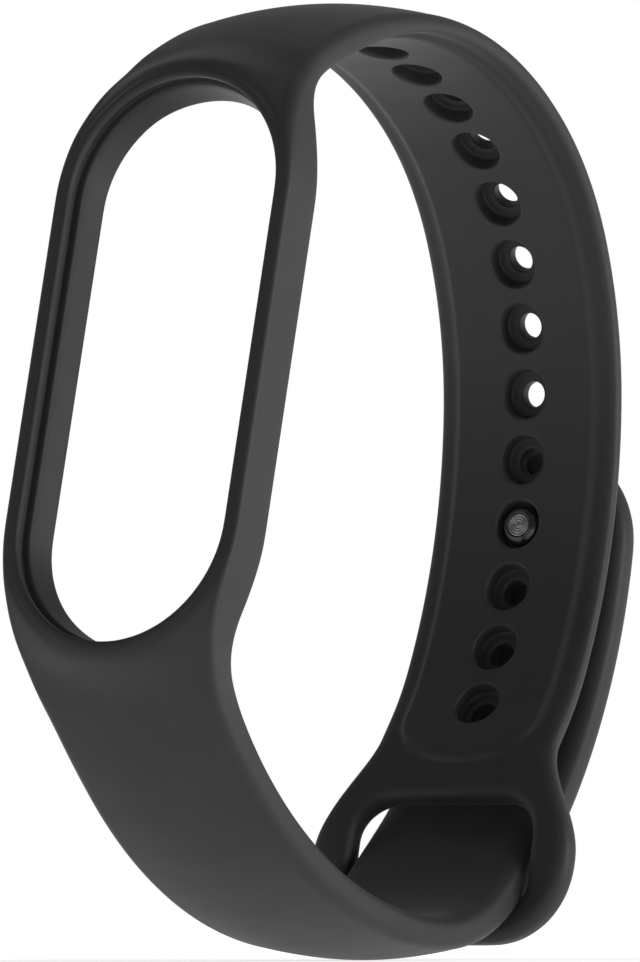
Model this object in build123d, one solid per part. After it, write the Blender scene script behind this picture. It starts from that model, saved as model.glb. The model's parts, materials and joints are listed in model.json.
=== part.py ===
from build123d import *
from math import asin, cos, pi, radians, sin
import os

# Fitness tracker band: a soft moulded strap with an empty capsule opening, and its snap stud.
#
# Millimetres, +Z up, wrist axis along Y.  The closed band stands on its lowest point: the origin
# is under the middle of its box.  The strap is described on its wrist face, as a side profile of
# straight runs and bends that starts at the middle of the capsule opening and goes both ways
# round the wrist.  A point of the strap is (s, h): s along the wrist face, h outwards from it.

# ---- driving dimensions -------------------------------------------------------------------
LEAN = 15.8                    # the capsule opening leans back by this much, degrees
HOLDER_CENTRE = (-23.549, 45.533)  # x, z of the opening's middle, on the wrist face

STRAP_HALF_WIDTH = 8.25
LOWER_HALF_WIDTH = 8.05        # the lower strap and its tail, which pass through the loop
HOLE_STRAP_THICKNESS = 2.4
LOWER_STRAP_THICKNESS = 3.5
LOWER_STRAP_EDGE = 1.45        # rounding of the long edges
HOLE_STRAP_EDGE = 0.9

OPENING_HALF_RUN = 13.45       # straight half-length of the obround opening
OPENING_RADIUS = 8.75          # at the wrist face
RIM_RADIUS = 9.45              # at the rim, where the capsule goes in
RIM_HEIGHT = 4.45              # rim above the wrist face
RIM_FACET = 1.35               # flat ring round the opening
RIM_END_ROUND = 2.0
RIM_SIDE_ROUND = 0.8
GROOVE_DEPTH = 0.45            # the groove under the rim that holds the capsule
GROOVE_TOP = 0.7               # below the rim
GROOVE_HEIGHT = 0.9
HOLDER_HALF_WIDTH = 10.8
HOLDER_BLEND_END = 28.0        # where the holder's sides have narrowed to the strap's width

HOLE_COUNT = 13
HOLE_PITCH = 5.28              # along the wrist face
FIRST_HOLE = 47.9              # s of the hole nearest the holder
USED_HOLE = 9                  # index of the hole that the stud is in, counted from the holder
THROAT_RADIUS = 1.03
COUNTERBORE_RADIUS = 2.0
COUNTERBORE_DEPTH = 1.25
PLATEAU_HALF_WIDTH = 6.3       # raised middle of the hole strap's wrist face
PLATEAU_STEP = 0.45
PLATEAU_REACH = 5.6            # from the last hole to the plateau's end
LIP_RADIUS = 2.5               # soft ring round the used hole that gives when the stud passes

LOOP_HALF_WIDTH = 12.0
LOOP_THICKNESS = 2.8
LOOP_CORNER = 6.8
LOOP_SET_IN = 0.3              # the loop's wrist face lies this far outside the hole strap's
LOOP_ROUND = 0.9
WINDOW_HALF_WIDTH = 8.35
WINDOW_CORNER = 3.3
WINDOW_TOP = 12.05             # s short of the loop's bottom edge
WINDOW_BOTTOM = 2.5
NECK_REACH = 6.0               # the sides begin to widen this far before the window
LOOP_FLARE = 10.8              # length of the neck that widens into the loop
THREAD_GAP = 0.2               # clearance between the strap and the loop it passes through

TAIL_TIP_REACH = 7.0           # the tail's tip beyond the stud's axis
HEAD_RADIUS = 1.65             # snap stud
NECK_RADIUS = 0.95
SHANK_RADIUS = 1.6
FLANGE_RADIUS = 3.1
FLANGE_THICKNESS = 0.9
HEAD_SET_BACK = 0.2            # head below the wrist face
HEAD_HEIGHT = 0.95
INLAY_RADIUS = 0.95
INLAY_DEPTH = 0.2
STUD_CLEARANCE = 0.03

# The strap's wrist face each way from the opening's middle: (radius, degrees) for a bend
# towards the wrist, a negative radius for a bend away from it, (None, mm) for a straight run.
UPPER_RUNS = [(None, 20.1), (6.2, 48.4), (36.8, 25.8), (29.0, 39.2), (21.9, 29.0),
              (31.9, 23.6), (47.4, 26.3), (21.0, 12.0), (None, 1.9), (-22.0, 31.0), (None, 6.3)]
LOWER_RUNS = [(None, 19.0), (6.8, 46.8), (38.0, 56.0), (15.0, 42.0), (None, 7.2),
              (18.0, 14.0), (46.2, 35.8)]
UPPER_CUT = 30.0               # s where the holder meets the hole strap
LOWER_CUT = 30.0               # s where the holder meets the lower strap
FLEX_START = 80.5              # s where the lower strap leaves the loop and the tail begins
FLEX_LENGTH = 5.0              # the part of the tail that bends when it is pulled off the stud hole


# ---- the side profile ---------------------------------------------------------------------
class Profile:
    """The wrist face of the strap as straight runs and bends; side is +1 or -1."""

    def __init__(self, start, heading, side, runs):
        self.side, self.legs, self.length = side, [], 0.0
        point, angle = start, radians(heading)
        for radius, amount in runs:
            size = amount if radius is None else abs(radius) * radians(amount)
            self.legs.append((self.length, size, point, angle, radius))
            self.length += size
            point, angle = self.at_leg(self.legs[-1], size, 0)

    def at_leg(self, leg, along, h):
        _, _, (x, z), angle, radius = leg
        if radius is None:
            turned, base = angle, (x + along * cos(angle), z + along * sin(angle))
        else:
            turned = angle - self.side * along / radius
            nx, nz = self.out(angle)
            tx, tz = self.out(turned)
            base = (x - radius * nx + radius * tx, z - radius * nz + radius * tz)
        nx, nz = self.out(turned)
        return (base[0] + h * nx, base[1] + h * nz), turned

    def out(self, angle):
        return -self.side * sin(angle), self.side * cos(angle)

    def leg_at(self, s):
        for leg in self.legs:
            if s <= leg[0] + leg[1] + 1e-9:
                return leg
        return self.legs[-1]

    def point(self, s, h=0.0):
        leg = self.leg_at(s)
        (x, z), _ = self.at_leg(leg, s - leg[0], h)
        return Vector(x, 0, z)

    def normal(self, s):
        leg = self.leg_at(s)
        _, angle = self.at_leg(leg, s - leg[0], 0)
        x, z = self.out(angle)
        return Vector(x, 0, z)

    def edges(self, s0, s1, h):
        """The stretch from s0 to s1 at height h, as lines and arcs."""
        found = []
        for leg in self.legs:
            a, b = max(s0, leg[0]), min(s1, leg[0] + leg[1])
            if b - a < 1e-6:
                continue
            ends = [Vector(*self.xz(leg, s, h)) for s in (a, (a + b) / 2, b)]
            found.append(Line(ends[0], ends[2]) if leg[4] is None else ThreePointArc(*ends))
        return found

    def xz(self, leg, s, h):
        (x, z), _ = self.at_leg(leg, s - leg[0], h)
        return x, 0, z


UP = (sin(radians(LEAN)), cos(radians(LEAN)))
upper = Profile(HOLDER_CENTRE, 90 - LEAN, 1, UPPER_RUNS)
lower = Profile(HOLDER_CENTRE, 270 - LEAN, -1, LOWER_RUNS)
HOLDER_OUT = upper.normal(0)


def side_slab(edges, half_width):
    """A closed outline in the side view, as thick as the strap is wide."""
    return extrude(make_face(edges), amount=half_width, dir=(0, 1, 0), both=True)


def ribbon(profile, s0, s1, low, high, half_width):
    """A square-edged stretch of strap between the heights low and high."""
    inner = profile.edges(s0, s1, low)
    outer = profile.edges(s0, s1, high)
    ends = [Line(profile.point(s, low), profile.point(s, high)) for s in (s0, s1)]
    return side_slab([*inner, *outer, *ends], half_width)


def swept(profile, s0, s1, section):
    """A stretch of strap with a section drawn as (across, height)."""
    ahead = profile.point(s0 + 0.01) - profile.point(s0)
    plane = Plane(origin=profile.point(s0), x_dir=(0, profile.side, 0), z_dir=ahead.normalized())
    return sweep(plane * section, path=Wire(profile.edges(s0, s1, 0)))


def flat_section(half_width, thickness, corner):
    return Pos(0, thickness / 2) * RectangleRounded(2 * half_width, thickness, corner)


def pillar(outline, plane, reach=30.0):
    """A flat outline on a plane, pushed both ways through whatever it meets."""
    return extrude(plane * outline, amount=reach, both=True)


# ---- the capsule holder -------------------------------------------------------------------
holder_plane = Plane(
    origin=upper.point(0), x_dir=(UP[0], 0, UP[1]), z_dir=(HOLDER_OUT.X, 0, HOLDER_OUT.Z)
)


def on_rim(u, height=RIM_HEIGHT):
    """A point of the side view: u along the opening, height above its wrist face."""
    return upper.point(0) + Vector(UP[0], 0, UP[1]) * u + HOLDER_OUT * height


def s_bend(u0, v0, u1, v1):
    """Two equal tangent arcs from (u0, v0) to (u1, v1), both ends parallel to u."""
    run, rise = (u1 - u0) / 2, (v1 - v0) / 2
    radius = (run ** 2 + rise ** 2) / (2 * abs(rise))
    half = asin(abs(run) / radius) / 2
    step_u = radius * sin(half) * (1 if run > 0 else -1)
    step_v = radius * (1 - cos(half)) * (1 if rise > 0 else -1)
    middle = (u0 + run, v0 + rise)
    first = ThreePointArc((u0, v0), (u0 + step_u, v0 + step_v), middle)
    second = ThreePointArc(middle, (u1 - step_u, v1 - step_v), (u1, v1))
    return [first, second]


def holder_plan():
    """The holder seen square on: straight sides that narrow to the strap at both ends."""
    far, wide = HOLDER_BLEND_END + 14, HOLDER_HALF_WIDTH
    lines = []
    for u, narrow in ((1, STRAP_HALF_WIDTH), (-1, LOWER_HALF_WIDTH)):
        for v in (1, -1):
            lines += s_bend(u * OPENING_HALF_RUN, v * wide, u * HOLDER_BLEND_END, v * narrow)
            lines.append(Line((u * HOLDER_BLEND_END, v * narrow), (u * far, v * narrow)))
        lines.append(Line((u * far, -narrow), (u * far, narrow)))
    for v in (1, -1):
        lines.append(Line((OPENING_HALF_RUN, v * wide), (-OPENING_HALF_RUN, v * wide)))
    return make_face(lines)


def obround(half_run, radius):
    return SlotCenterToCenter(2 * half_run, 2 * radius)


def holder_block():
    rim_end = OPENING_HALF_RUN + RIM_RADIUS + RIM_FACET
    top, bottom = on_rim(rim_end), on_rim(-rim_end)
    upper_face = upper.point(UPPER_CUT, HOLE_STRAP_THICKNESS)
    lower_face = lower.point(LOWER_CUT, LOWER_STRAP_THICKNESS)
    outline = [*upper.edges(0, UPPER_CUT, 0), *lower.edges(0, LOWER_CUT, 0)]
    outline += [Line(upper.point(UPPER_CUT), upper_face), Line(upper_face, top)]
    outline += [Line(top, bottom), Line(bottom, lower_face), Line(lower_face, lower.point(LOWER_CUT))]
    block = side_slab(outline, HOLDER_HALF_WIDTH + 1) & pillar(holder_plan(), holder_plane)
    ends = [e for e in block.edges() if min((e.center() - p).length for p in (top, bottom)) < 0.3]
    block = fillet(ends, RIM_END_ROUND)
    return fillet([e for e in block.edges() if on_rim_side(e)], RIM_SIDE_ROUND)


def on_rim_side(edge):
    """True for an edge of the rim plane's outline, other than the two rounded ends."""
    points = [edge.center(), *[v.center() for v in edge.vertices()]]
    heights = [(p - on_rim(0)).dot(HOLDER_OUT) for p in points]
    return max(abs(h) for h in heights) < 0.05 and abs(edge.center().Y) > 5


def capsule_opening():
    """The drafted obround opening with the groove that the capsule snaps into."""
    reach = 1.0
    slope = (RIM_RADIUS - OPENING_RADIUS) / RIM_HEIGHT
    low = holder_plane.offset(-reach) * obround(OPENING_HALF_RUN, OPENING_RADIUS - reach * slope)
    high = holder_plane.offset(RIM_HEIGHT + reach) * obround(
        OPENING_HALF_RUN, RIM_RADIUS + reach * slope
    )
    wall = loft([low, high])
    groove_plane = holder_plane.offset(RIM_HEIGHT - GROOVE_TOP - GROOVE_HEIGHT)
    groove = extrude(
        groove_plane * obround(OPENING_HALF_RUN, RIM_RADIUS + GROOVE_DEPTH), amount=GROOVE_HEIGHT
    )
    return wall + groove


def capsule_holder():
    return holder_block() - capsule_opening()


# ---- the hole strap -----------------------------------------------------------------------
def hole_station(index):
    return FIRST_HOLE + index * HOLE_PITCH


def hole_axis(index):
    """A plane at a hole's mouth on the wrist face, facing outwards along the hole."""
    s = hole_station(index)
    return Plane(origin=upper.point(s), z_dir=upper.normal(s), x_dir=(0, 1, 0))


def drilled(plane, radius, start, end):
    """A round bar along a plane's normal, between two heights."""
    return extrude(plane.offset(start) * Circle(radius), amount=end - start)


def hole_cut(index):
    """Counterbore on the wrist face and throat to the outside."""
    plane = hole_axis(index)
    wide = drilled(plane, COUNTERBORE_RADIUS, -1, COUNTERBORE_DEPTH)
    narrow = drilled(plane, THROAT_RADIUS, 0, HOLE_STRAP_THICKNESS + 1)
    return wide + narrow


LOOP_END = upper.length
PLATEAU_END = hole_station(HOLE_COUNT - 1) + PLATEAU_REACH
NECK_START = LOOP_END - WINDOW_TOP - NECK_REACH


def hole_strap():
    base = flat_section(STRAP_HALF_WIDTH, HOLE_STRAP_THICKNESS - PLATEAU_STEP, HOLE_STRAP_EDGE)
    body = swept(upper, UPPER_CUT, NECK_START, Pos(0, PLATEAU_STEP) * base)
    body += ribbon(upper, UPPER_CUT, NECK_START, 0, PLATEAU_STEP + 0.2, PLATEAU_HALF_WIDTH)
    for index in range(HOLE_COUNT):
        body -= hole_cut(index)
    pocket = drilled(hole_axis(USED_HOLE), LIP_RADIUS, COUNTERBORE_DEPTH, HOLE_STRAP_THICKNESS + 1)
    return body - pocket


def snap_lip():
    """The soft ring round the used hole's throat, which stretches over the stud's head."""
    plane = hole_axis(USED_HOLE)
    ring = drilled(plane, LIP_RADIUS, COUNTERBORE_DEPTH, HOLE_STRAP_THICKNESS + 1)
    ring -= drilled(plane, THROAT_RADIUS, 0, HOLE_STRAP_THICKNESS + 1)
    strap = ribbon(upper, UPPER_CUT, NECK_START, 0, HOLE_STRAP_THICKNESS, STRAP_HALF_WIDTH)
    return ring & strap


# ---- the keeper loop ----------------------------------------------------------------------
# Square on to the loop, with y along the strap towards the loop's bottom edge.
loop_plane = Plane(
    origin=upper.point(LOOP_END - WINDOW_TOP / 2),
    z_dir=upper.normal(LOOP_END - WINDOW_TOP / 2),
    x_dir=(0, -1, 0),
)
assert loop_plane.y_dir.Z < 0


def loop_plan():
    """The loop seen square on; v runs down towards its bottom edge."""
    down = WINDOW_TOP / 2
    neck, wide = STRAP_HALF_WIDTH, LOOP_HALF_WIDTH
    flare_top = down - (LOOP_END - NECK_START)
    flare_end = flare_top + LOOP_FLARE
    lines = [Line((-neck, flare_top), (neck, flare_top))]
    for side in (1, -1):
        for arc in s_bend(flare_top, neck, flare_end, wide):
            points = [arc @ t for t in (0, 0.5, 1)]
            lines.append(ThreePointArc(*[(side * p.Y, p.X) for p in points]))
        corner = down - LOOP_CORNER
        lines.append(Line((side * wide, flare_end), (side * wide, corner)))
        reach = LOOP_CORNER * (1 - cos(pi / 4))
        lines.append(
            ThreePointArc(
                (side * wide, corner),
                (side * (wide - reach), down - reach),
                (side * (wide - LOOP_CORNER), down),
            )
        )
    lines.append(Line((wide - LOOP_CORNER, down), (LOOP_CORNER - wide, down)))
    return make_face(lines)


def loop_pillar(outline):
    """A square-on outline pushed through the loop."""
    return pillar(outline, loop_plane, 12)


def keeper_loop():
    body = ribbon(upper, NECK_START, LOOP_END, LOOP_SET_IN, LOOP_THICKNESS, LOOP_HALF_WIDTH + 1)
    body &= loop_pillar(loop_plan())
    body = fillet([e for e in body.edges() if on_loop_outline(e)], LOOP_ROUND)
    body += ribbon(upper, NECK_START, PLATEAU_END, 0, LOOP_SET_IN + 0.1, PLATEAU_HALF_WIDTH)
    middle = (WINDOW_TOP + WINDOW_BOTTOM) / 2
    window = Pos(0, WINDOW_TOP / 2 - middle) * RectangleRounded(
        2 * WINDOW_HALF_WIDTH, WINDOW_TOP - WINDOW_BOTTOM, WINDOW_CORNER
    )
    return body - loop_pillar(window) - thread_space(THREAD_GAP)


def on_loop_outline(edge):
    """True for the edges that run round the loop's outside, on either face."""
    across = abs((edge % 0.5).dot(loop_plane.z_dir)) > 0.5
    below_neck = (edge.center() - upper.point(NECK_START + 0.5)).Z < 0
    outside = abs(edge.center().Y) > STRAP_HALF_WIDTH + 0.1 or edge.center().Z < LOOP_CORNER / 2
    return outside and below_neck and not across


def thread_space(gap):
    """The space that the strap takes as it passes through the loop."""
    return ribbon(
        lower, FLEX_START - 16, FLEX_START + FLEX_LENGTH + 4, -gap,
        LOWER_STRAP_THICKNESS + gap, LOWER_HALF_WIDTH + gap,
    )


# ---- the lower strap and its tail ---------------------------------------------------------
def stud_plane():
    return hole_axis(USED_HOLE)


def tail_station():
    """s of the tail where the stud's axis crosses it."""
    origin, axis = stud_plane().origin, stud_plane().z_dir
    low, high = FLEX_START, lower.length
    while high - low > 1e-6:
        middle = (low + high) / 2
        offset = lower.point(middle) - origin
        beyond = offset.Z * axis.X - offset.X * axis.Z
        low, high = (middle, high) if beyond < 0 else (low, middle)
    return low


def stud_height():
    """How far along the stud's axis the tail's wrist face lies."""
    return (lower.point(tail_station()) - stud_plane().origin).dot(stud_plane().z_dir)


TAIL_END = tail_station() + TAIL_TIP_REACH
FLEX_END = FLEX_START + FLEX_LENGTH


def strap_section():
    return flat_section(LOWER_HALF_WIDTH, LOWER_STRAP_THICKNESS, LOWER_STRAP_EDGE)


def lower_strap():
    return swept(lower, LOWER_CUT, FLEX_START, strap_section())


def tail_root():
    """The short stretch outside the loop that bends when the tail is pulled away."""
    return swept(lower, FLEX_START, FLEX_END, strap_section())


def tail():
    """The end of the lower strap, with a round tip and the stepped hole that holds the stud."""
    body = swept(lower, FLEX_END, TAIL_END, strap_section())
    tip = Plane(
        origin=lower.point(TAIL_END), x_dir=(0, -1, 0), z_dir=lower.normal(TAIL_END - 4)
    )
    assert tip.y_dir.Z < 0
    radius = LOWER_HALF_WIDTH
    shape = Pos(0, radius) * Circle(radius) + Pos(0, radius + 25) * Rectangle(2 * radius, 50)
    body &= pillar(shape, tip, 12)
    plane, base = stud_plane(), stud_height()
    top = base + LOWER_STRAP_THICKNESS
    body -= drilled(plane, SHANK_RADIUS + STUD_CLEARANCE, base - 1, top + 1)
    body -= drilled(
        plane, FLANGE_RADIUS + STUD_CLEARANCE, top - FLANGE_THICKNESS - STUD_CLEARANCE, top + 2
    )
    return body


# ---- the snap stud ------------------------------------------------------------------------
def snap_stud():
    """One turned piece: mushroom head, neck, shank in the tail and flange on its outside."""
    plane, base = stud_plane(), stud_height()
    top = base + LOWER_STRAP_THICKNESS
    under_flange = top - FLANGE_THICKNESS
    head_end = HEAD_SET_BACK + HEAD_HEIGHT
    head_tip = HEAD_SET_BACK + 0.3
    outline = Polyline(
        (0, HEAD_SET_BACK + INLAY_DEPTH),
        (INLAY_RADIUS, HEAD_SET_BACK + INLAY_DEPTH),
        (INLAY_RADIUS, HEAD_SET_BACK),
        (HEAD_RADIUS - 0.3, HEAD_SET_BACK),
        (HEAD_RADIUS, head_tip),
        (HEAD_RADIUS, head_end - 0.1),
        (NECK_RADIUS, head_end),
        (NECK_RADIUS, base),
        (SHANK_RADIUS, base),
        (SHANK_RADIUS, under_flange),
        (FLANGE_RADIUS, under_flange),
        (FLANGE_RADIUS, top - 0.2),
        (FLANGE_RADIUS - 0.25, top + 0.05),
        (0, top + 0.25),
        close=True,
    )
    section = Plane(origin=plane.origin, x_dir=plane.x_dir, z_dir=plane.x_dir.cross(plane.z_dir))
    return revolve(section * make_face(outline), Axis(plane.origin, plane.z_dir))


def stud_inlay():
    """The small metal disc set in the face of the head."""
    return drilled(stud_plane(), INLAY_RADIUS, HEAD_SET_BACK, HEAD_SET_BACK + INLAY_DEPTH)


NODES = {
    "capsule_holder": capsule_holder,
    "hole_strap": hole_strap,
    "snap_lip": snap_lip,
    "keeper_loop": keeper_loop,
    "lower_strap": lower_strap,
    "tail_root": tail_root,
    "tail": tail,
    "snap_stud": snap_stud,
    "stud_inlay": stud_inlay,
}

if __name__ == "__main__":
    os.makedirs("parts", exist_ok=True)
    for name, make in NODES.items():
        part = make()
        export_step(part, f"parts/{name}.step")
        print(name, round(part.volume, 1), len(part.solids()), part.is_valid)
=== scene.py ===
import json
from math import atan2, cos, pi, radians, sin

import bmesh
import bpy
import numpy as np
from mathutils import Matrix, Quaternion, Vector

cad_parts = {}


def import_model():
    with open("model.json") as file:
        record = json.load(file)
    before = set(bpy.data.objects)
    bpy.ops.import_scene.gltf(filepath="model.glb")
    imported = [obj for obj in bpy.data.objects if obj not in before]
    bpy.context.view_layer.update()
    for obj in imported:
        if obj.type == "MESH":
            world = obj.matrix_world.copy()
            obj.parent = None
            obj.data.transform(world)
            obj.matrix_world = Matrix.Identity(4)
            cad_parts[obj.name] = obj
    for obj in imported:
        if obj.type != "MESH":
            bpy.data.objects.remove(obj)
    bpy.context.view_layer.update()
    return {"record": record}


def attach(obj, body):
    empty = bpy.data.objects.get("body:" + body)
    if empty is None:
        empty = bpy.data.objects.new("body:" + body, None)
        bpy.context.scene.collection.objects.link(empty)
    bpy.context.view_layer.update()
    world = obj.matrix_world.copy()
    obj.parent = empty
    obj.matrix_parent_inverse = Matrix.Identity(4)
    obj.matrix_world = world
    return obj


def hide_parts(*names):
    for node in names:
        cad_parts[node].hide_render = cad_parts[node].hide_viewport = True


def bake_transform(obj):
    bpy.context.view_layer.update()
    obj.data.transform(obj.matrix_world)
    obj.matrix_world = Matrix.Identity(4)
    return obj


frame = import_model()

MM = 0.001

# ---- the strap's side profile: (radius, degrees) bends towards the wrist, or away from it where
# the radius is negative, and (None, mm) runs straight
UPPER_RUNS = [(None, 20.1), (6.2, 48.4), (36.8, 25.8), (29.0, 39.2), (21.9, 29.0), (31.9, 23.6),
              (47.4, 26.3), (21.0, 12.0), (None, 1.9), (-22.0, 31.0), (None, 6.3)]
LOWER_RUNS = [(None, 19.0), (6.8, 46.8), (38.0, 56.0), (15.0, 42.0), (None, 7.2),
              (18.0, 14.0), (46.2, 35.8)]
SHOULDERS = {1: UPPER_RUNS[0][1], -1: LOWER_RUNS[0][1]}          # where the first bend starts
SHOULDER_RADII = {1: UPPER_RUNS[1][0], -1: LOWER_RUNS[1][0]}

# ---- capsule holder
RIM_HEIGHT = 4.45
OPENING_HALF_RUN = 13.45
RIM_RADIUS = 9.45            # opening at the rim
WRIST_RADIUS = 8.75          # opening at the wrist face
CREASE_RADIUS = 10.8         # outside of the flat ring round the opening
INNER_RING_RADIUS = 10.35    # last ring of the flat ring that runs all the way round
HOLDER_HALF_WIDTH = 10.8
HOLDER_BLEND_END = 28.0
HOLDER_END = 30.0            # station where the ring of faces round the opening ends
CREASE_SOFTNESS = 0.3
FALL_LENGTH = 3.0            # how far beyond the crease the surface takes to reach the strap

# ---- hole strap
STRAP_HALF_WIDTH = 8.25
HOLE_PITCH = 5.28            # along the wrist face
HOLE_COUNT = 13
FIRST_HOLE = 47.9
HOLES = [FIRST_HOLE + i * HOLE_PITCH for i in range(HOLE_COUNT)]
HOLE_STRAP_THICKNESS = 2.4
COUNTERBORE_RADIUS = 2.0
COUNTERBORE_DEPTH = 1.25
THROAT_RADIUS = 1.03
CELL_HALF = 3.1              # half-width of the square of faces round a hole
OUTER_CELL = HOLE_PITCH / 2 * 0.96                     # from an end hole to its cell's far border
CELLS_START = HOLES[0] - OUTER_CELL
CELLS_END = HOLES[-1] + OUTER_CELL
PLATEAU_HALF_WIDTH = 6.3
PLATEAU_STEP = 0.45
PLATEAU_END = HOLES[-1] + 1.2                          # where its rounded end starts
PLATEAU_END_LENGTH = 4.4
PLATEAU_ROWS_END = PLATEAU_END + PLATEAU_END_LENGTH + 0.7    # the close rows run to here

# ---- keeper loop
LOOP_HALF_WIDTH = 12.0
LOOP_CORNER = 6.8
LOOP_THICKNESS = 2.8
LOOP_SET_IN = 0.3
NECK_REACH = 6.0             # the sides begin to widen this far before the window
LOOP_FLARE = 10.8
WINDOW_HALF_WIDTH = 8.35
WINDOW_TOP = 12.05           # the window's two edges, measured from the loop's end
WINDOW_BOTTOM = 2.5
WINDOW_CORNERS = {-1: 3.3, 1: 2.9}                     # radii at the top and at the bottom
WINDOW_ROUND = 1.0

# ---- lower strap, tail and stud
LOWER_HALF_WIDTH = 8.05
LOWER_THICKNESS = 3.5
SEAM = -78.0                 # the tail's own mesh starts here, inside the loop's window
TAIL_TIP = -112.91
TIP_START = -101.2           # station where the ring of faces round the stud starts
STUD_HOLE = 10               # counted from the holder
HEAD_RADIUS = 1.65
HEAD_SET_BACK = 0.2
HEAD_HEIGHT = 0.95
NECK_RADIUS = 0.95
SHANK_RADIUS = 1.6
FLANGE_RADIUS = 3.1
FLANGE_THICKNESS = 0.9
INLAY_RADIUS = 0.95

# ---- spacing of the meshes
MIDDLE_COLUMNS = 8                                     # across the square round a hole
SIDE_COLUMNS = np.array([0.25, 0.5, 0.655, 0.71, 0.775, 0.88, 1.0])   # beside it, to the edge
COLUMNS = MIDDLE_COLUMNS + 2 * len(SIDE_COLUMNS)
EDGE_STEPS = 5
CORNER_STEPS = 10
ARM_STEPS = 26               # along an arm of the holder
SIDE_STEPS = 18              # from an arm to the holder's end
LOOP_SIDE_STEPS = 12
LOOP_BASE_STEPS = 10
TURNING_STEPS = 72           # round the stud
RING_SHARES = [0, 0.12, 0.26, 0.42, 0.6, 0.8, 1]
HOLDER_SHARES = [0, 0.03, 0.06, 0.09, 0.125, 0.17, 0.22, 0.28, 0.36, 0.45, 0.55, 0.66, 0.78,
                 0.89, 1]
STRAP_ROW = 0.85             # lengths of the rows of faces
PLATEAU_ROW = 0.26
LOOP_ROW = 0.7
TAIL_ROW = 0.8
SEAM_ROW = 0.06

# ---- the wall of the opening, as (beyond the rim's radius, above the rim plane): the rim's edge,
# the groove that holds the capsule, and the lip under it
OPENING_WALL = [(0.26, 0.0), (0.08, -0.03), (0.0, -0.16), (0.0, -0.4), (0.0, -0.62), (0.06, -0.69),
                (0.36, -0.72), (0.42, -0.8), (0.42, -1.15), (0.38, -1.48), (0.3, -1.53),
                (-0.1, -1.56), (-0.24, -1.62), (-0.27, -1.75), (-0.33, -2.1)]
OPENING_FOOT = [(0.03, 0.28), (0.09, 0.07), (0.3, 0.0)]      # (beyond the wrist radius, height)
WALL_SLOT = 1                # the drafted wall has the moulding's second material


# ---- helpers ------------------------------------------------------------------------------
def ease(x, low, high):
    """0 below low, 1 above high, and smooth between them."""
    t = np.clip((np.asarray(x, float) - low) / (high - low), 0, 1)
    return t * t * (3 - 2 * t)


def stops(x, *pairs):
    """A value that goes smoothly through (x, value) pairs given in rising order."""
    value = np.full(np.shape(x), float(pairs[0][1]))
    for (x0, y0), (x1, y1) in zip(pairs, pairs[1:]):
        value = value + (y1 - y0) * ease(x, x0, x1)
    return value


def mount(name):
    found = next(m for m in frame["record"]["mounts"] if m["name"] == name)
    return Vector(found["pos_m"]) / MM, Vector(found["axis"])


rim_centre, HOLDER_OUT = mount("capsule_opening")
HOLDER_CENTRE = rim_centre - HOLDER_OUT * RIM_HEIGHT
HEADING = atan2(-HOLDER_OUT.x, HOLDER_OUT.z)                       # of the upper strap
HOLDER_UP = Vector((cos(HEADING), 0, sin(HEADING)))


class Profile:
    """The wrist face in the side view, as straight runs and bends, with heights outwards."""

    def __init__(self, heading, side, runs):
        self.side = side
        begin, angle, station = np.array([HOLDER_CENTRE.x, HOLDER_CENTRE.z]), heading, 0.0
        legs = []
        for radius, amount in runs:
            length = amount if radius is None else abs(radius) * radians(amount)
            legs.append((station, begin[0], begin[1], angle, 0 if radius is None else 1 / radius))
            self.legs = np.array(legs)
            begin = np.array(self.place(station + length, 0))
            angle -= 0 if radius is None else side * length / radius
            station += length
        self.length = station

    def out(self, angle):
        return -self.side * np.sin(angle), self.side * np.cos(angle)

    def leg(self, s):
        row = np.searchsorted(self.legs[:, 0], s, side="right") - 1
        return np.moveaxis(self.legs[np.clip(row, 0, len(self.legs) - 1)], -1, 0)

    def place(self, s, h):
        """x and z of a station and a height."""
        start, x, z, angle, bend = self.leg(s)
        along = s - start
        turned = angle - self.side * along * bend
        radius = 1 / np.where(bend == 0, 1, bend)
        (ox, oz), (tx, tz) = self.out(angle), self.out(turned)
        x = x + np.where(bend == 0, along * np.cos(angle), radius * (tx - ox)) + h * tx
        z = z + np.where(bend == 0, along * np.sin(angle), radius * (tz - oz)) + h * tz
        return x, z

    def bend(self, s):
        return self.leg(s)[4]


upper = Profile(HEADING, 1, UPPER_RUNS)
lower = Profile(HEADING + pi, -1, LOWER_RUNS)
LOOP_END = upper.length
FLARE_START = LOOP_END - WINDOW_TOP - NECK_REACH
LOOP_START = LOOP_END - WINDOW_TOP - WINDOW_ROUND - 1.4      # where its rings of faces start


def strap(station, v, h):
    """Points of the strap in metres: station along it, v across it, h out from the wrist face."""
    station, v, h = np.broadcast_arrays(*[np.asarray(a, float) for a in (station, v, h)])
    up_x, up_z = upper.place(np.maximum(station, 0), h)
    low_x, low_z = lower.place(np.maximum(-station, 0), h)
    above = station >= 0
    return np.stack([np.where(above, up_x, low_x), v, np.where(above, up_z, low_z)], -1) * MM


def holder(u, v, height):
    """Points of the holder in metres: u along the opening, height above its wrist face."""
    u, v, height = np.broadcast_arrays(*[np.asarray(a, float) for a in (u, v, height)])
    base = np.array(HOLDER_CENTRE) + u[..., None] * HOLDER_UP + height[..., None] * HOLDER_OUT
    return (base + v[..., None] * np.array([0, 1, 0])) * MM


def shoulder(station):
    """Where the bend beside the holder starts, and its radius, on the station's side."""
    above = np.asarray(station) >= 0
    return np.where(above, SHOULDERS[1], SHOULDERS[-1]), np.where(
        above, SHOULDER_RADII[1], SHOULDER_RADII[-1])


def bend_angle(station):
    start, radius = shoulder(station)
    return np.clip((np.abs(station) - start) / radius, 0, 1.2)


def on_rim_plane(u):
    """The station whose outward line meets the rim plane at u."""
    start, radius = shoulder(u)
    beyond = np.maximum(np.abs(u) - start, 0)
    return np.sign(u) * (np.minimum(np.abs(u), start) + radius * np.arctan(
        beyond / (radius + RIM_HEIGHT)))


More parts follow.
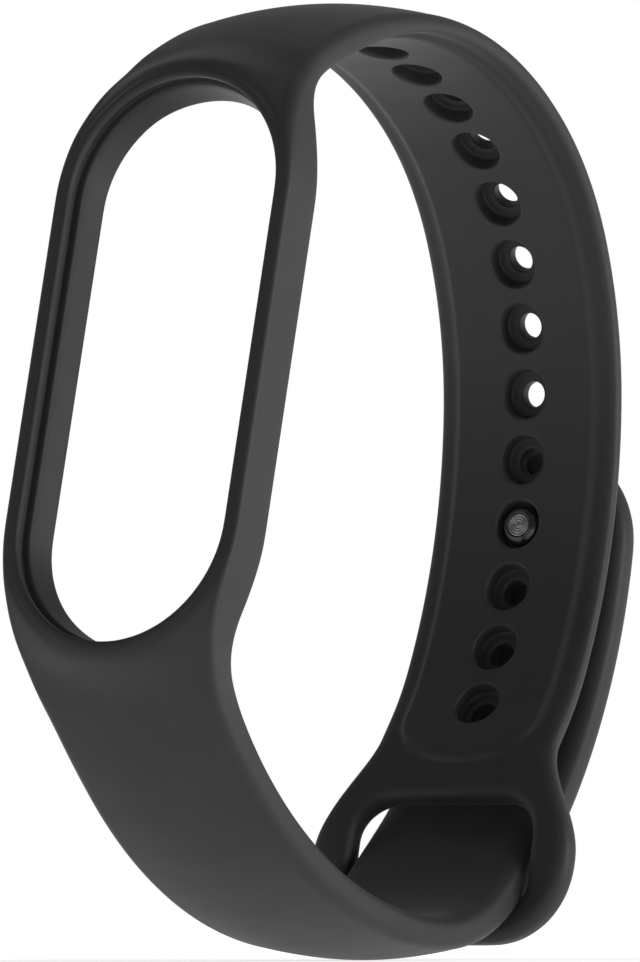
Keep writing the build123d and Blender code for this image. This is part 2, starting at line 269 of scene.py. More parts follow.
def on_wrist_face(u):
    """The station whose wrist face lies straight under u."""
    start, radius = shoulder(u)
    beyond = np.maximum(np.abs(u) - start, 0)
    return np.sign(u) * (np.minimum(np.abs(u), start) + radius * np.arcsin(beyond / radius))


# ---- the strap's section ------------------------------------------------------------------
def half_width(station):
    x, z = upper.place(np.clip(station, 0, 40), 2)
    lx, lz = lower.place(np.clip(-np.asarray(station), 0, 40), 2)
    above = np.asarray(station) >= 0
    x, z = np.where(above, x, lx), np.where(above, z, lz)
    reach = np.abs((x - HOLDER_CENTRE.x) * HOLDER_UP.x + (z - HOLDER_CENTRE.z) * HOLDER_UP.z)
    reach = np.where(np.abs(station) > HOLDER_END, HOLDER_BLEND_END, reach)
    narrow = np.where(above, STRAP_HALF_WIDTH, LOWER_HALF_WIDTH)
    width = HOLDER_HALF_WIDTH + (narrow - HOLDER_HALF_WIDTH) * ease(
        reach, OPENING_HALF_RUN, HOLDER_BLEND_END)
    return width + (LOOP_HALF_WIDTH - STRAP_HALF_WIDTH) * ease(station, FLARE_START,
                                                               FLARE_START + LOOP_FLARE)


def thickness(station):
    """From wrist face to outer face, a little more where it fills the loop's window."""
    return stops(station, (-84, LOWER_THICKNESS), (-76, 3.9), (-70, 3.9), (-62, LOWER_THICKNESS),
                 (-24, LOWER_THICKNESS), (26, 3.2), (62, HOLE_STRAP_THICKNESS),
                 (FLARE_START, HOLE_STRAP_THICKNESS), (FLARE_START + 8, LOOP_THICKNESS))


def crown(station):
    """How much lower the outer face is at its edges than along its middle."""
    return stops(station, (-78, 0.8), (-60, 1.05), (-34, 0.9), (-17, 0), (17, 0), (24, 1.15),
                 (40, 1.15), (60, 0.35), (105, 0.3), (118, 0.1))


def crease_angle(station):
    """How far round the shoulder the crease lies, at the middle of the strap."""
    start, radius = shoulder(station)
    return np.arctan((OPENING_HALF_RUN + CREASE_RADIUS - start) / (radius + RIM_HEIGHT))


def rim_height(station):
    """Height of the rim plane above the wrist face, up to the crease."""
    _, radius = shoulder(station)
    angle = np.minimum(bend_angle(station), crease_angle(station))
    return (radius + RIM_HEIGHT) / np.cos(angle) - radius


def beyond_crease(station, v):
    """Distance outside the flat ring's crease, negative inside it."""
    start, radius = shoulder(station)
    crease = start + radius * crease_angle(station)
    spread = (OPENING_HALF_RUN + CREASE_RADIUS - start) / (crease - start)
    beyond = np.maximum(np.abs(station) - start, 0)
    u = np.minimum(np.abs(station), start) + spread * beyond
    along = np.maximum(u - OPENING_HALF_RUN, 0)
    reach = np.hypot(along, v)
    share = (along / np.maximum(reach, 1e-6)) ** 2 * (beyond > 0)
    return (reach - CREASE_RADIUS) * (1 - share + share / spread)


def outer(station, v):
    """Height of the outer face, away from its rounded edges."""
    distance = beyond_crease(station, v)
    fall = (distance + np.sqrt(distance ** 2 + CREASE_SOFTNESS ** 2)) / 2
    left = np.clip(1 - fall / FALL_LENGTH, 0, 1) ** 2
    base = thickness(station)
    raised = (rim_height(station) - base) * left
    rounding = crown(station) * (v / half_width(station)) ** 2
    return base + raised - rounding


def wrist(station, v):
    """Height of the wrist face: a raised plateau, with the edges set back from it."""
    step = stops(station, (31, 0), (43, PLATEAU_STEP), (FLARE_START, PLATEAU_STEP),
                 (FLARE_START + 6, LOOP_SET_IN))
    past = np.maximum(station - PLATEAU_END, 0) / PLATEAU_END_LENGTH
    return step * ease(np.hypot(past, v / PLATEAU_HALF_WIDTH), 0.97, 1.06)


def outer_round(station):
    """Across and down sizes of the outer edge's rounding."""
    across = stops(station, (-34, 1.35), (-18, 0.45), (13, 0.45), (24, 1.2), (118, 1.1))
    down = stops(station, (-34, 1.15), (-18, 0.45), (13, 0.45), (24, 1.3), (50, 0.85), (118, 1.0))
    return across, down


def wrist_round(station):
    across = stops(station, (-72, 2.1), (-50, 1.0), (-34, 0.95), (-18, 0.5), (18, 0.5), (34, 0.6),
                   (118, 1.2))
    down = stops(station, (-72, 1.3), (-50, 0.85), (-34, 0.8), (-18, 0.5), (18, 0.5), (34, 0.5),
                 (118, 0.95))
    return across, down


FACES = {"outer": (outer, outer_round), "wrist": (wrist, wrist_round)}


def columns(face, station, cell=CELL_HALF):
    """Where the rows of a face have their points, from -v to +v."""
    station = np.asarray(station, float)[..., None]
    across, _ = FACES[face][1](station)
    room = half_width(station) - across - cell
    right = cell + room * SIDE_COLUMNS
    middle = np.broadcast_to(np.linspace(-cell, cell, MIDDLE_COLUMNS + 1),
                             station.shape[:-1] + (MIDDLE_COLUMNS + 1,))
    return np.concatenate([-right[..., ::-1], middle, right], -1)


def edge_strip(station, v, inward_s, inward_v):
    """The rounded edge along an outline, from the outer face to the wrist face.

    The outline's points are (station, v), with the direction in from the edge."""
    station, v = np.asarray(station, float), np.asarray(v, float)
    out_across, out_down = outer_round(station)
    in_across, in_down = wrist_round(station)
    top = outer(station, v + inward_v * out_across)
    bottom = wrist(station, v + inward_v * in_across)
    out_down = np.minimum(out_down, 0.6 * (top - bottom))
    in_down = np.minimum(in_down, 0.36 * (top - bottom))
    rows = []
    for turn in np.linspace(0, pi / 2, EDGE_STEPS + 1):
        inset = out_across * (1 - sin(turn))
        rows.append((inset, top - out_down * (1 - cos(turn))))
    for turn in np.linspace(pi / 2, 0, EDGE_STEPS + 1):
        inset = in_across * (1 - sin(turn))
        rows.append((inset, bottom + in_down * (1 - cos(turn))))
    points = [strap(station + inward_s * inset, v + inward_v * inset, h) for inset, h in rows]
    return np.stack(points, 1)


def face_border(face, station, v, inward_s, inward_v):
    """The same outline, moved in to where a face's rounding starts."""
    across, _ = FACES[face][1](station)
    return station + inward_s * across, v + inward_v * across


# ---- collecting faces ---------------------------------------------------------------------
def add_object(name, data):
    made = bpy.data.objects.new(name, data)
    bpy.context.scene.collection.objects.link(made)
    return made


class Skin:
    """Grids of points, joined into one closed mesh of quads."""

    def __init__(self, name):
        self.name, self.mesh = name, bmesh.new()

    def grid(self, points, closed=False, material=0):
        """Quads between the rows of an array of points; closed joins each row's two ends."""
        points = np.asarray(points)
        rows = [[self.mesh.verts.new(p) for p in row] for row in points]
        for low, high in zip(rows, rows[1:]):
            span = len(low) if closed else len(low) - 1
            for i in range(span):
                j = (i + 1) % len(low)
                quad = self.mesh.faces.new((low[i], low[j], high[j], high[i]))
                quad.material_index = material

    def finished(self, materials):
        """The smooth object: coincident points joined, subdivided, and closed at a seam."""
        bmesh.ops.remove_doubles(self.mesh, verts=self.mesh.verts, dist=2e-6)
        bmesh.ops.recalc_face_normals(self.mesh, faces=self.mesh.faces)
        data = bpy.data.meshes.new(self.name)
        self.mesh.to_mesh(data)
        self.mesh.free()
        made = add_object(self.name, data)
        for material in materials:
            data.materials.append(material)
        smooth = made.modifiers.new("smooth", "SUBSURF")
        smooth.levels = smooth.render_levels = 1
        graph = bpy.context.evaluated_depsgraph_get()
        final = bpy.data.meshes.new_from_object(made.evaluated_get(graph))
        made.modifiers.clear()
        made.data = final
        close_seam(final)
        return made


def close_seam(data):
    """Caps open ends with flat faces, sharp at their borders."""
    work = bmesh.new()
    work.from_mesh(data)
    for face in work.faces:
        face.smooth = True
    border = [e for e in work.edges if e.is_boundary]
    if border:
        made = bmesh.ops.holes_fill(work, edges=border, sides=0)
        for face in made["faces"]:
            face.smooth = False
            for edge in face.edges:
                edge.smooth = False
    bmesh.ops.recalc_face_normals(work, faces=work.faces)
    work.to_mesh(data)
    work.free()


def blend_rings(first, last, shares):
    """Plan positions between two rings, at the given shares of the way."""
    return [tuple(a + (b - a) * t for a, b in zip(first, last)) for t in shares]


# ---- rows of strap, and the cells with stud holes -------------------------------------------
def plain_rows(skin, stations):
    """A stretch of strap without holes: both faces and both edges."""
    stations = np.asarray(stations, float)
    for face, (height, _) in FACES.items():
        v = columns(face, stations)
        skin.grid(strap(stations[:, None], v, height(stations[:, None], v)))
    edge_rows(skin, stations)


def edge_rows(skin, stations):
    for side in (1, -1):
        rim = side * half_width(stations)
        skin.grid(edge_strip(stations, rim, 0 * stations, np.full(len(stations), -side)))


def square_ring(low, high, half):
    """Stations and v round a cell's border, starting at its corner, with the same turn as
    the ring of angles that they face."""
    steps = MIDDLE_COLUMNS
    rows, cols = np.linspace(low, high, steps + 1), np.linspace(-half, half, steps + 1)
    station = np.concatenate([rows[:-1], np.full(steps, high), rows[::-1][:-1],
                              np.full(steps, low)])
    v = np.concatenate([np.full(steps, half), cols[::-1][:-1], np.full(steps, -half),
                        cols[:-1]])
    return station, v


def hole_rings():
    """(radius, height above the face it starts on, from which face) down through a hole."""
    wall, deep = COUNTERBORE_RADIUS, COUNTERBORE_DEPTH
    throat, top = THROAT_RADIUS, HOLE_STRAP_THICKNESS
    return [(wall + 0.2, 0.0), (wall + 0.07, 0.02), (wall, 0.12), (wall, 0.4),
            (wall, deep - 0.2), (wall - 0.05, deep - 0.05), (wall - 0.2, deep),
            (throat + 0.35, deep), (throat + 0.1, deep + 0.02), (throat, deep + 0.12),
            (throat, deep + 0.6), (throat, top - 0.14), (throat + 0.05, top - 0.03),
            (throat + 0.16, top)]


def hole_cell(skin, centre, low, high):
    """The middle of both faces round one stud hole, and the hole through them."""
    station, v = square_ring(low, high, CELL_HALF)
    turn = np.arctan2(v, (station - centre) * 2 * CELL_HALF / (high - low))
    bend = float(upper.bend(centre))

    def ring(radius, h):
        return centre + radius * np.cos(turn) / (1 + h * bend), radius * np.sin(turn)

    rings = hole_rings()
    shares = np.array([0, 0.2, 0.42, 0.64, 0.84, 1])
    grid = []
    for at in blend_rings((station, v), ring(rings[0][0], 0), shares):
        grid.append(strap(*at, wrist(*at)))
    for radius, h in rings[1:-1]:
        grid.append(strap(*ring(radius, h), h))
    last = ring(rings[-1][0], HOLE_STRAP_THICKNESS)
    for at in blend_rings(last, (station, v), [0, 0.2, 0.45, 0.72, 1]):
        grid.append(strap(*at, outer(*at)))
    skin.grid(grid, closed=True)


def hole_rows(skin):
    """The row of stud holes, one band of rows for each."""
    middles = [(a + b) / 2 for a, b in zip(HOLES, HOLES[1:])]
    bounds = [CELLS_START, *middles, CELLS_END]
    side = len(SIDE_COLUMNS)
    for centre, low, high in zip(HOLES, bounds, bounds[1:]):
        rows = np.linspace(low, high, MIDDLE_COLUMNS + 1)
        for face, (height, _) in FACES.items():
            v = columns(face, rows)
            for part in (v[:, :side + 1], v[:, -side - 1:]):
                skin.grid(strap(rows[:, None], part, height(rows[:, None], part)))
        edge_rows(skin, rows)
        hole_cell(skin, centre, low, high)


# ---- the capsule holder -------------------------------------------------------------------
def holder_outline():
    """Stations and sides round the holder, and which of them lie on its two open ends."""
    arm = np.linspace(-OPENING_HALF_RUN, OPENING_HALF_RUN, ARM_STEPS + 1)[:-1]
    rise = np.linspace(OPENING_HALF_RUN, HOLDER_END, SIDE_STEPS + 1)[:-1]
    end = np.full(COLUMNS, HOLDER_END)
    half = np.concatenate([arm, rise, end, (rise + (rise[1] - rise[0]))[::-1]])
    kinds = np.concatenate([0 * arm, 0 * rise, 0 * end + 1, 0 * rise])
    index = np.concatenate([0 * arm, 0 * rise, np.arange(COLUMNS), 0 * rise])
    sides = np.concatenate([0 * arm + 1, 0 * rise + 1, 0 * end, 0 * rise - 1])
    station = np.concatenate([half, -half])
    return (station, np.concatenate([sides, -sides]), np.concatenate([kinds, kinds]),
            np.concatenate([index, index]).astype(int))


def holder_border(face):
    """Stations and v of the outside of a face of the holder."""
    station, side, at_end, index = holder_outline()
    across, _ = FACES[face][1](station)
    v = side * (half_width(station) - across)
    for sign in (1, -1):
        ends = columns(face, sign * HOLDER_END)
        rows = (at_end == 1) & (np.sign(station) == sign)
        line = ends[::-1] if sign == 1 else ends
        v[rows] = line[index[rows]]
    return station, v


def opening_ring(radius):
    """u and v of an obround round the opening, opposite the holder's outline."""
    station, v = holder_border("outer")
    centre = np.clip(station, -OPENING_HALF_RUN, OPENING_HALF_RUN)
    turn = np.arctan2(v, station - centre)
    return centre + radius * np.cos(turn), radius * np.sin(turn)


def capsule_holder(skin):
    border = holder_border("outer")
    rings = []
    for radius in (RIM_RADIUS + 0.26, RIM_RADIUS + 0.55):
        u, v = opening_ring(radius)
        rings.append(holder(u, v, RIM_HEIGHT))
    u, v = opening_ring(INNER_RING_RADIUS)
    inner = (on_rim_plane(u), v)
    for at in blend_rings(inner, border, HOLDER_SHARES):
        rings.append(strap(*at, outer(*at)))
    skin.grid(rings, closed=True)

    rings = []
    for more, drop in OPENING_WALL:
        u, v = opening_ring(RIM_RADIUS + more)
        rings.append(holder(u, v, RIM_HEIGHT + drop))
    skin.grid(rings, closed=True)

    top = rings[-1]
    foot = []
    for more, h in OPENING_FOOT:
        u, v = opening_ring(WRIST_RADIUS + more)
        foot.append(strap(on_wrist_face(u), v, h))
    drafted = [top + (foot[0] - top) * t for t in (0, 0.2, 0.4, 0.6, 0.8, 1)]
    skin.grid(drafted, closed=True, material=WALL_SLOT)
    skin.grid(foot, closed=True)

    u, v = opening_ring(WRIST_RADIUS + OPENING_FOOT[-1][0])
    rings = [strap(*at, wrist(*at)) for at in blend_rings(
        (on_wrist_face(u), v), holder_border("wrist"), RING_SHARES)]
    rings[0] = foot[-1]
    skin.grid(rings, closed=True)

    arm = np.linspace(-OPENING_HALF_RUN, OPENING_HALF_RUN, ARM_STEPS + 1)
    rise = np.linspace(OPENING_HALF_RUN, HOLDER_END, SIDE_STEPS + 1)
    edge_rows(skin, np.concatenate([-rise[::-1], arm[1:-1], rise]))


# ---- rounded ends: the keeper loop and the tail's tip ---------------------------------------
def end_outline(start, end, corner, side_steps, bottom_steps):
    """An outline from (start, +v) round the end to (start, -v), with its inward directions."""
    sign = 1 if end > start else -1
    width = float(half_width(end - sign * corner))
    rows = np.linspace(start, end - sign * corner, side_steps + 1)
    quarter = np.linspace(0, pi / 2, CORNER_STEPS + 1)[1:]
    arc_s = end - sign * corner + sign * corner * np.sin(quarter)
    arc_v = width - corner + corner * np.cos(quarter)
    base = np.linspace(width - corner, corner - width, bottom_steps + 1)[1:-1]
    station = np.concatenate([rows, arc_s, np.full(len(base), end), arc_s[::-1], rows[::-1]])
    v = np.concatenate([half_width(rows), arc_v, base, -arc_v[::-1], -half_width(rows)[::-1]])
    in_s = np.concatenate([0 * rows, -sign * np.sin(quarter), np.full(len(base), -sign),
                           -sign * np.sin(quarter)[::-1], 0 * rows])
    in_v = np.concatenate([0 * rows - 1, -np.cos(quarter), 0 * base, np.cos(quarter)[::-1],
                           0 * rows + 1])
    if bottom_steps == 0:
        keep = np.r_[0:len(rows) + len(arc_s), len(rows) + len(arc_s) + 1:len(station)]
        station, v, in_s, in_v = station[keep], v[keep], in_s[keep], in_v[keep]
    return station, v, in_s, in_v


def end_ring(face, outline, start):
    """The whole border of a rounded end's face: across the strap, then round the outline."""
    line = columns(face, start)[1:-1]
    station, v = face_border(face, *outline)
    return np.concatenate([np.full(len(line), start), station]), np.concatenate([line, v])


def resampled(points, shares):
    """Points of an open polyline at shares of its length."""
    points = np.asarray(points, float)
    lengths = np.r_[0, np.cumsum(np.hypot(*np.diff(points, axis=0).T))]
    at = np.asarray(shares) * lengths[-1]
    return np.stack([np.interp(at, lengths, points[:, i]) for i in (0, 1)], -1)


def window_corner(sign_s, sign_v, grow, turns):
    """A quarter of the window's outline, grown outwards."""
    edge = LOOP_END - (WINDOW_BOTTOM if sign_s > 0 else WINDOW_TOP)
    corner = WINDOW_CORNERS[sign_s]
    s = edge + sign_s * ((corner + grow) * np.sin(turns) - corner)
    v = sign_v * (WINDOW_HALF_WIDTH - corner + (corner + grow) * np.cos(turns))
    return np.stack([s, v], -1)


def window_ring(grow, side_points, bottom_points):
    """The window's outline in step with the loop's: top, +v side, bottom, -v side."""
    eighth = np.linspace(0, pi / 4, 9)
    high = np.linspace(pi / 2, pi / 4, 9)
    top = np.concatenate([window_corner(-1, -1, grow, eighth + pi / 4),
                          window_corner(-1, 1, grow, high)])
    side = np.concatenate([window_corner(-1, 1, grow, eighth[::-1]),
                           window_corner(1, 1, grow, eighth)])
    base = np.concatenate([window_corner(1, 1, grow, eighth + pi / 4),
                           window_corner(1, -1, grow, high)])
    shares = np.linspace(0, 1, COLUMNS + 1)
    right = resampled(side, np.linspace(0, 1, side_points))
    bottom = resampled(base, np.linspace(0, 1, bottom_points))
    left = right[::-1] * [1, -1]
    ring = np.concatenate([resampled(top, shares)[1:-1], right, bottom[1:-1], left])
    return ring[:, 0], ring[:, 1]


def keeper_loop(skin, start):
    outline = end_outline(start, LOOP_END, LOOP_CORNER, LOOP_SIDE_STEPS, LOOP_BASE_STEPS)
    skin.grid(edge_strip(*outline))
    side_points = LOOP_SIDE_STEPS + 1 + CORNER_STEPS // 2
    bottom_points = len(outline[0]) + 2 - 2 * side_points

    def window(grow):
        return window_ring(grow, side_points, bottom_points)

    first = end_ring("outer", outline, start)
    last = end_ring("wrist", outline, start)
    top, bottom = LOOP_THICKNESS - 0.02, LOOP_SET_IN
    rings = [strap(*at, outer(*at))
             for at in blend_rings(first, window(WINDOW_ROUND), RING_SHARES)]
    for turn in np.linspace(0, pi / 2, EDGE_STEPS + 1)[1:]:
        at = window(WINDOW_ROUND * (1 - sin(turn)))
        rings.append(strap(*at, top - WINDOW_ROUND * (1 - cos(turn))))
    for turn in np.linspace(pi / 2, 0, EDGE_STEPS + 1):
        at = window(WINDOW_ROUND * (1 - sin(turn)))
        rings.append(strap(*at, bottom + WINDOW_ROUND * (1 - cos(turn))))
    rings += [strap(*at, wrist(*at))
              for at in blend_rings(window(WINDOW_ROUND), last, RING_SHARES)][1:]
    skin.grid(rings, closed=True)


# ---- the stud's place on the tail -----------------------------------------------------------
def stud_frame():
    """The used hole's mouth on the wrist face, and its direction outwards."""
    s = HOLES[STUD_HOLE - 1]
    mouth = Vector(strap(s, 0, 0)) / MM
    return mouth, (Vector(strap(s, 0, 1)) / MM - mouth).normalized()


def tail_crossing():
    """The tail's station on the stud's axis, and its wrist face's height along that axis."""
    mouth, axis = stud_frame()
    stations = np.linspace(-90, TAIL_TIP, 2000)
    points = strap(stations, 0, 0) / MM - np.array(mouth)
    aside = points[:, 2] * axis.x - points[:, 0] * axis.z
    nearest = int(np.argmin(np.abs(aside)))
    return stations[nearest], float(points[nearest] @ np.array(axis))


def tail_tip(skin):
    """The round end of the tail, with the stepped hole that holds the stud."""
    centre, _ = tail_crossing()
    outline = end_outline(TIP_START, TAIL_TIP, LOWER_HALF_WIDTH, 2, 0)
    skin.grid(edge_strip(*outline))
    first = end_ring("outer", outline, TIP_START)
    last = end_ring("wrist", outline, TIP_START)
    turn = np.arctan2(first[1], first[0] - centre)

    def ring(radius):
        return centre + radius * np.cos(turn), radius * np.sin(turn)

    recess, shank = FLANGE_RADIUS + 0.06, SHANK_RADIUS + 0.02
    floor = LOWER_THICKNESS - FLANGE_THICKNESS - 0.1
    shares = [0, 0.12, 0.26, 0.42, 0.6, 0.78, 0.92, 1]
    rings = [strap(*at, outer(*at)) for at in blend_rings(first, ring(recess + 0.25), shares)]
    rings.append(strap(*ring(recess + 0.06), outer(*ring(recess + 0.06)) - 0.05))
    rings.append(strap(*ring(recess), outer(*ring(recess)) - 0.22))
    rings += [strap(*ring(r), h) for r, h in (
        (recess, floor + 0.1), (recess - 0.1, floor), (shank + 0.1, floor), (shank, floor - 0.1),
        (shank, 0.15), (shank + 0.1, 0.02), (shank + 0.25, 0.0))]
    rings += [strap(*at, wrist(*at))
              for at in blend_rings(ring(shank + 0.25), last, [0.1, 0.3, 0.5, 0.7, 0.85, 1])]
    skin.grid(rings, closed=True)


# ---- materials ------------------------------------------------------------------------------
def socket(node, name, value):
    node.inputs[name].default_value = value


def new_material(name):
    material = bpy.data.materials.new(name)
    material.use_nodes = True
    tree = material.node_tree
    return material, tree, tree.nodes["Principled BSDF"]


def noise(tree, scale, detail, roughness=0.5, stretch=None):
    """Noise in the object's own metres."""
    place = tree.nodes.new("ShaderNodeTexCoord")
    vector = place.outputs["Object"]
    if stretch is not None:
        mapping = tree.nodes.new("ShaderNodeMapping")
        mapping.inputs["Scale"].default_value = stretch
        tree.links.new(vector, mapping.inputs["Vector"])
        vector = mapping.outputs["Vector"]
    made = tree.nodes.new("ShaderNodeTexNoise")
    socket(made, "Scale", scale)
    socket(made, "Detail", detail)
    socket(made, "Roughness", roughness)
    tree.links.new(vector, made.inputs["Vector"])
    return made.outputs["Fac"]


def to_range(tree, value, low, high, start=0.3, end=0.7):
    node = tree.nodes.new("ShaderNodeMapRange")
    for name, number in (("From Min", start), ("From Max", end), ("To Min", low), ("To Max", high)):
        socket(node, name, number)
    tree.links.new(value, node.inputs["Value"])
    return node.outputs["Result"]


def mixed_colour(tree, value, low, high):
    """Between two colours; a Mix node's colour sockets are inputs 6 and 7 and output 2."""
    node = tree.nodes.new("ShaderNodeMix")
    node.data_type = "RGBA"
    node.inputs[6].default_value = (*low, 1)
    node.inputs[7].default_value = (*high, 1)
    tree.links.new(value, node.inputs[0])
    return node.outputs[2]


def bump(tree, value, strength, distance, before=None):
    node = tree.nodes.new("ShaderNodeBump")
    socket(node, "Strength", strength)
    socket(node, "Distance", distance)
    tree.links.new(value, node.inputs["Height"])
    if before is not None:
        tree.links.new(before, node.inputs["Normal"])
    return node.outputs["Normal"]


def silicone(name, dark, light, rough, tooling=False):
    """Matt black silicone: spark-eroded grain, faint clouding, and a soft sheen."""
    material, tree, shader = new_material(name)
    cloud = noise(tree, 160, 4, 0.6)
    smear = noise(tree, 420, 3, 0.55, stretch=(1, 0.35, 1))
    grain = noise(tree, 7000, 2, 0.6)
    colour = mixed_colour(tree, to_range(tree, cloud, 0, 1), dark, light)
    tree.links.new(colour, shader.inputs["Base Color"])
    tree.links.new(to_range(tree, smear, rough - 0.02, rough + 0.03), shader.inputs["Roughness"])
    normal = bump(tree, grain, 0.12, 0.00003)
    normal = bump(tree, cloud, 0.05, 0.0002, normal)
    if tooling:
        lines = noise(tree, 5200, 2, 0.5, stretch=(1, 1, 0.05))
        normal = bump(tree, lines, 0.22, 0.00005, normal)
    tree.links.new(normal, shader.inputs["Normal"])
    socket(shader, "Specular IOR Level", 0.32)
    socket(shader, "Sheen Weight", 0.06)
    socket(shader, "Sheen Roughness", 0.45)
    return material


def gloss_black():
    """The stud: black coated metal, with a fine grain in its bump and a faint haze in its colour
    and gloss.
    """
    material, tree, shader = new_material("stud_black")
    haze = noise(tree, 900, 3, 0.5)
    tree.links.new(mixed_colour(tree, haze, (0.006, 0.006, 0.007), (0.014, 0.014, 0.015)),
                   shader.inputs["Base Color"])
    tree.links.new(to_range(tree, haze, 0.16, 0.26), shader.inputs["Roughness"])
    tree.links.new(bump(tree, noise(tree, 5000, 2), 0.06, 0.00002), shader.inputs["Normal"])
    socket(shader, "Coat Weight", 0.4)
    socket(shader, "Coat Roughness", 0.1)
    return material


def satin_metal():
    material, tree, shader = new_material("inlay_metal")
    haze = noise(tree, 2500, 3, 0.5)
    tree.links.new(mixed_colour(tree, haze, (0.18, 0.18, 0.19), (0.34, 0.34, 0.35)),
                   shader.inputs["Base Color"])
    tree.links.new(to_range(tree, haze, 0.28, 0.42), shader.inputs["Roughness"])
    tree.links.new(bump(tree, noise(tree, 9000, 2), 0.1, 0.00001), shader.inputs["Normal"])
    socket(shader, "Metallic", 1.0)
    return material


# ---- the stud -------------------------------------------------------------------------------
def turned(name, outline, material):
    """A turned piece: (radius, height) points revolved about the stud's axis."""
    mouth, axis = stud_frame()
    side = Vector((0, 1, 0))
    third = axis.cross(side)
    work = bmesh.new()
    rows = []
    for radius, height in outline:
        if radius == 0:
            rows.append([work.verts.new((mouth + axis * height) * MM)])
            continue
        turns = [2 * pi * i / TURNING_STEPS for i in range(TURNING_STEPS)]
        rows.append([work.verts.new((mouth + axis * height + side * (radius * cos(t))
                                     + third * (radius * sin(t))) * MM) for t in turns])
    for low, high in zip(rows, rows[1:]):
        for i in range(TURNING_STEPS):
            j = (i + 1) % TURNING_STEPS
            ring = [low[i % len(low)], low[j % len(low)], high[j % len(high)], high[i % len(high)]]
            work.faces.new(list(dict.fromkeys(ring)))
    bmesh.ops.recalc_face_normals(work, faces=work.faces)
    for face in work.faces:
        face.smooth = True
    data = bpy.data.meshes.new(name)
    work.to_mesh(data)
    work.free()
    data.materials.append(material)
    return add_object(name, data)


def rounded_path(points, radius=0.06, steps=3):
    """A (radius, height) outline with its corners eased by short arcs."""
    path = [points[0]]
    for a, b, c in zip(points, points[1:], points[2:]):
        a, b, c = (np.array(p, float) for p in (a, b, c))
        before, after = np.linalg.norm(a - b), np.linalg.norm(c - b)
        size = min(radius, 0.45 * before, 0.45 * after)
        start, end = b + (a - b) / before * size, b + (c - b) / after * size
        for t in np.linspace(0, 1, steps + 1):
            path.append(tuple((1 - t) ** 2 * start + 2 * t * (1 - t) * b + t * t * end))
    path.append(points[-1])
    return path


def snap_stud(material):
    """Mushroom head, neck, shank and a domed button outside, in one piece."""
    _, base = tail_crossing()
    top = base + LOWER_THICKNESS
    face, back = HEAD_SET_BACK, HEAD_SET_BACK + HEAD_HEIGHT
    head = [(0, face + 0.14), (INLAY_RADIUS + 0.02, face + 0.14), (INLAY_RADIUS + 0.05, face),
            (1.12, face - 0.02), (1.2, face + 0.05), (1.3, face + 0.05),
            (HEAD_RADIUS - 0.04, face + 0.34), (HEAD_RADIUS, face + 0.5),
            (HEAD_RADIUS, back - 0.1), (HEAD_RADIUS - 0.2, back), (NECK_RADIUS, back + 0.02)]
    shank = [(NECK_RADIUS, base), (SHANK_RADIUS, base), (SHANK_RADIUS, top - FLANGE_THICKNESS)]
    button = [(FLANGE_RADIUS, top - FLANGE_THICKNESS), (FLANGE_RADIUS, top - 0.3),
              (FLANGE_RADIUS - 0.25, top - 0.04), (2.35, top + 0.08), (2.25, top + 0.02),
              (2.1, top + 0.1), (1.0, top + 0.2), (0, top + 0.23)]
    return turned("snap_stud_turned", rounded_path(head + shank + button), material)


def stud_disc(material):
    """The small disc in the head, with plain turned rings."""
    face = HEAD_SET_BACK
    rings = [(0, face - 0.01)]
    for radius in (0.28, 0.5, 0.72):
        rings += [(radius - 0.05, face - 0.01), (radius, face + 0.05), (radius + 0.05, face - 0.01)]
    rings += [(INLAY_RADIUS - 0.04, face), (INLAY_RADIUS, face + 0.05),
              (INLAY_RADIUS, face + 0.18), (0, face + 0.18)]
    return turned("stud_inlay_disc", rounded_path(rings, 0.03, 2), material)


# ---- build ------------------------------------------------------------------------------------
def steps_between(low, high, size):
    return np.linspace(low, high, max(2, int(round(abs(high - low) / size)) + 1))


black = silicone("silicone_black", (0.0175, 0.0175, 0.018), (0.0205, 0.0205, 0.021), 0.56)
walled = silicone("silicone_wall", (0.021, 0.021, 0.0215), (0.026, 0.026, 0.0265), 0.54,
                  tooling=True)

band = Skin("band_moulding")
capsule_holder(band)
plain_rows(band, steps_between(HOLDER_END, CELLS_START, STRAP_ROW))
hole_rows(band)
plain_rows(band, steps_between(CELLS_END, PLATEAU_ROWS_END, PLATEAU_ROW))
plain_rows(band, steps_between(PLATEAU_ROWS_END, LOOP_START, LOOP_ROW))
keeper_loop(band, LOOP_START)
plain_rows(band, np.r_[steps_between(-HOLDER_END, SEAM + SEAM_ROW, STRAP_ROW), SEAM])
band_piece = band.finished([black, walled])

tail = Skin("tail_strap")
plain_rows(tail, np.r_[SEAM, steps_between(SEAM - SEAM_ROW, TIP_START, TAIL_ROW)])
tail_tip(tail)
tail_piece = tail.finished([black])

stud_piece = snap_stud(gloss_black())
disc_piece = stud_disc(satin_metal())

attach(band_piece, "band")
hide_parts("capsule_holder", "hole_strap", "snap_lip", "keeper_loop", "lower_strap")
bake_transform(tail_piece)
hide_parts("tail_root", "tail")
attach(stud_piece, "tail")
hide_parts("snap_stud")
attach(disc_piece, "tail")
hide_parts("stud_inlay")


# ---- floor, light and camera --------------------------------------------------------------------
FLOOR_RADIUS = 6                                       # metres, as is everything on the stage
# Painted light: the floor glows although it is no lamp, and glows more weakly near the middle under
# the band than farther out.
FLOOR_GLOW = (0.62, 0.95, 0.05, 0.16)                  # near, far, and where it starts and ends
TOWARDS_WALL = (0.84, 0.54, 0)
SENSOR_SIZE = 36
CAMERA_AZIMUTH = radians(-57.78)
CAMERA_ELEVATION = radians(-1.58)
CAMERA_ROLL = radians(-0.17)
CAMERA_DISTANCE = 1.25
VIEW_HEIGHT = 75.61 * MM                                # seen from top to bottom of the picture
VIEW_TARGET = Vector((-2.52, 0, 37.67)) * MM


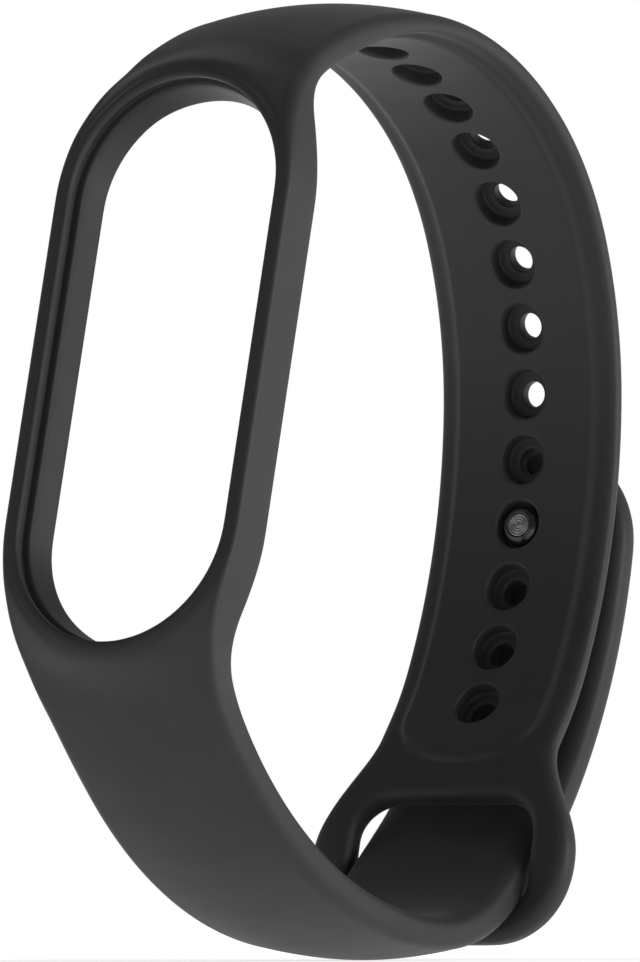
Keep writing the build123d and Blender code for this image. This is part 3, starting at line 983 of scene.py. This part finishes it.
def floor():
    bpy.ops.mesh.primitive_circle_add(vertices=96, radius=FLOOR_RADIUS, fill_type="NGON")
    made = bpy.context.object
    made.name = "floor"
    material, tree, shader = new_material("floor_pale_glowing")
    socket(shader, "Base Color", (0.86, 0.86, 0.86, 1))
    socket(shader, "Roughness", 0.9)
    socket(shader, "Emission Color", (1, 1, 1, 1))
    place = tree.nodes.new("ShaderNodeTexCoord")
    reach = tree.nodes.new("ShaderNodeVectorMath")
    reach.operation = "LENGTH"
    tree.links.new(place.outputs["Object"], reach.inputs[0])
    # painted light: the emission strength rises with distance from the floor's middle
    glow = to_range(tree, reach.outputs["Value"], *FLOOR_GLOW)
    tree.links.new(glow, shader.inputs["Emission Strength"])
    made.data.materials.append(material)


def world():
    """A white wall behind the band, dimmer towards the front and overhead."""
    made = bpy.data.worlds.new("studio")
    bpy.context.scene.world = made
    made.use_nodes = True
    tree = made.node_tree
    background = tree.nodes["Background"]
    socket(background, "Color", (1, 1, 1, 1))
    place = tree.nodes.new("ShaderNodeTexCoord")
    split = tree.nodes.new("ShaderNodeSeparateXYZ")
    tree.links.new(place.outputs["Generated"], split.inputs[0])
    height = to_range(tree, split.outputs["Z"], 1.0, 0.28, 0.07, 0.24)
    beyond = tree.nodes.new("ShaderNodeVectorMath")
    beyond.operation = "DOT_PRODUCT"
    tree.links.new(place.outputs["Generated"], beyond.inputs[0])
    beyond.inputs[1].default_value = TOWARDS_WALL
    wall = to_range(tree, beyond.outputs["Value"], 0.7, 1.0, -0.3, 0.5)
    glow = tree.nodes.new("ShaderNodeMath")
    glow.operation = "MULTIPLY"
    tree.links.new(height, glow.inputs[0])
    tree.links.new(wall, glow.inputs[1])
    tree.links.new(glow.outputs[0], background.inputs["Strength"])


def softbox(name, place, target, size, power):
    data = bpy.data.lights.new(name, "AREA")
    data.shape = "RECTANGLE"
    data.size, data.size_y = size
    data.energy = power
    made = add_object(name, data)
    made.location = place
    made.rotation_euler = (Vector(target) - Vector(place)).to_track_quat("-Z", "Y").to_euler()


def camera():
    data = bpy.data.cameras.new("camera")
    data.sensor_width = SENSOR_SIZE
    data.lens = SENSOR_SIZE * CAMERA_DISTANCE / VIEW_HEIGHT
    made = add_object("camera", data)
    back = Vector((sin(CAMERA_AZIMUTH) * cos(CAMERA_ELEVATION),
                   -cos(CAMERA_AZIMUTH) * cos(CAMERA_ELEVATION), sin(CAMERA_ELEVATION)))
    made.location = VIEW_TARGET + back * CAMERA_DISTANCE
    level = (-back).to_track_quat("-Z", "Y")
    made.rotation_euler = (level @ Quaternion((0, 0, 1), CAMERA_ROLL)).to_euler()
    data.clip_start, data.clip_end = 0.01, 50
    bpy.context.scene.camera = made


floor()
world()
softbox("side_light", (0.1, -0.8, 0.08), (0, 0, 0.04), (0.5, 0.5), 7)
camera()
bpy.context.scene.view_settings.view_transform = "Standard"
